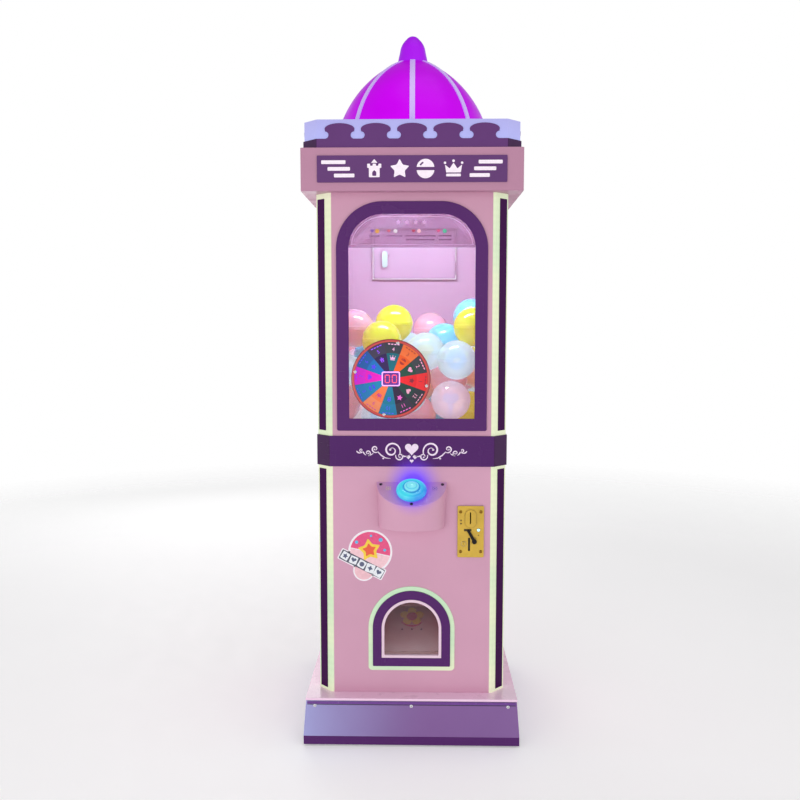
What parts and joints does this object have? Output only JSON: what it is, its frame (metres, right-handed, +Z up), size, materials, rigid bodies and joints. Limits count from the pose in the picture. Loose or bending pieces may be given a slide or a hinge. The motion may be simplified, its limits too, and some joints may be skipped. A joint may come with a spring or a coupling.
{
  "type": "capsule toy machine",
  "caption": "Tall castle-shaped capsule toy machine with a lit window full of capsules, a round prize dial, a push-button console, a coin plate, an arched prize door, battlements and a dome.",
  "frame": {"origin": "centre of the machine's footprint, on the floor under the levelling feet", "axes": "+Z up; the machine's front faces -Y; +X is to the right seen from the front"},
  "size_m": [0.537, 0.5775, 1.8],
  "materials": {
    "pink_paint": "satin",
    "purple_trim": "gloss",
    "skirt_purple": "gloss",
    "edge_light": "satin",
    "crown_light": "satin",
    "dome_magenta": "gloss",
    "rib_pale": "gloss",
    "window_pane": "gloss",
    "tinted_clear": "gloss",
    "flap_clear": "gloss",
    "liner_pale": "gloss",
    "pocket_paint": "satin",
    "frame_steel": "satin",
    "deck_steel": "satin",
    "zinc": "satin",
    "dial_print": "gloss",
    "dial_back": "gloss",
    "display": "gloss",
    "button_blue": "gloss",
    "black_plastic": "matte",
    "coin_gold": "satin",
    "cash_box_paint": "satin",
    "supply_case": "satin",
    "board_green": "satin",
    "lamp_white": "satin",
    "feed_plastic": "satin",
    "motor_steel": "satin",
    "capsule_shell": "gloss"
  },
  "bodies": {
    "cabinet": {"base_frame": "frame_steel", "button_bezel": "button_blue", "button_switch": "black_plastic", "capsules": "capsule_shell", "chamber_lamp": "lamp_white", "coin_box": "cash_box_paint", "coin_plate": "coin_gold", "coin_validator": "black_plastic", "console_housing": "pink_paint", "console_plate": "pink_paint", "control_board": "board_green", "corner_diffusers": "edge_light", "corner_inserts": "purple_trim", "corner_posts": "frame_steel", "crown_band": "purple_trim", "crown_lightbox": "crown_light", "dome_knob": "dome_magenta", "dome_ribs": "rib_pale", "dome_shell": "dome_magenta", "door_hinge_pins": "zinc", "drop_chute": "pocket_paint", "flap_rod": "zinc", "front_lower_panel": "pink_paint", "front_upper_panel": "pink_paint", "gear_motor": "motor_steel", "header_shell": "pink_paint", "header_sign": "purple_trim", "hopper_funnel": "feed_plastic", "instruction_plate": "tinted_clear", "kick_strip": "purple_trim", "left_panel": "pink_paint", "leveling_feet": "zinc", "mech_deck": "deck_steel", "plinth_tray": "pink_paint", "power_inlet": "black_plastic", "power_supply": "supply_case", "prize_box": "pocket_paint", "prize_light": "edge_light", "prize_liner": "liner_pale", "prize_trim": "purple_trim", "rear_frame": "pink_paint", "right_panel": "pink_paint", "screws": "zinc", "skirt_front": "skirt_purple", "skirt_wrap": "skirt_purple", "waist_band": "purple_trim", "wheel_display": "display", "wheel_face": "dial_print", "wheel_housing": "dial_back", "window_bezel": "purple_trim", "window_glass": "window_pane"},
    "button": {"button_plunger": "button_blue"},
    "coin_lever": {"coin_lever": "black_plastic"},
    "prize_flap": {"prize_flap": "flap_clear"},
    "filling_hatch": {"filling_hatch": "pink_paint"},
    "service_door": {"service_door": "pink_paint"},
    "hatch_lock": {"hatch_lock": "zinc"},
    "service_lock": {"service_lock": "zinc"},
    "carousel": {"carousel": "feed_plastic", "carousel_shaft": "zinc"}
  },
  "joints": [
    {"name": "button_press", "type": "slide", "parent": "cabinet", "child": "button", "axis": [0, 0.5492, -0.8357], "range_m": [0, 0.005], "stiffness_N_per_m": 800, "springref_m": -0.002},
    {"name": "coin_lever_press", "type": "hinge", "parent": "cabinet", "child": "coin_lever", "pos_m": [0.141, -0.2222, 0.538], "axis": [0, 1, 0], "range_deg": [0, 20], "stiffness_Nm_per_rad": 0.05, "springref_deg": -5.73},
    {"name": "prize_flap_swing", "type": "hinge", "parent": "cabinet", "child": "prize_flap", "pos_m": [0, -0.2062, 0.3645], "axis": [1, 0, 0], "range_deg": [0, 75]},
    {"name": "filling_hatch_swing", "type": "hinge", "parent": "cabinet", "child": "filling_hatch", "pos_m": [0.127, 0.2623, 1.253], "axis": [0, 0, -1], "range_deg": [0, 110]},
    {"name": "service_door_swing", "type": "hinge", "parent": "cabinet", "child": "service_door", "pos_m": [0.15, 0.2623, 0.41], "axis": [0, 0, -1], "range_deg": [0, 110]},
    {"name": "hatch_lock_turn", "type": "hinge", "parent": "filling_hatch", "child": "hatch_lock", "pos_m": [-0.083, 0.2578, 1.253], "axis": [0, 1, 0], "range_deg": [0, 90]},
    {"name": "service_lock_turn", "type": "hinge", "parent": "service_door", "child": "service_lock", "pos_m": [-0.114, 0.2578, 0.41], "axis": [0, 1, 0], "range_deg": [0, 90]},
    {"name": "carousel_spin", "type": "hinge", "parent": "cabinet", "child": "carousel", "pos_m": [0, 0.0198, 0.7], "axis": [0, 0, 1], "continuous": true}
  ]
}
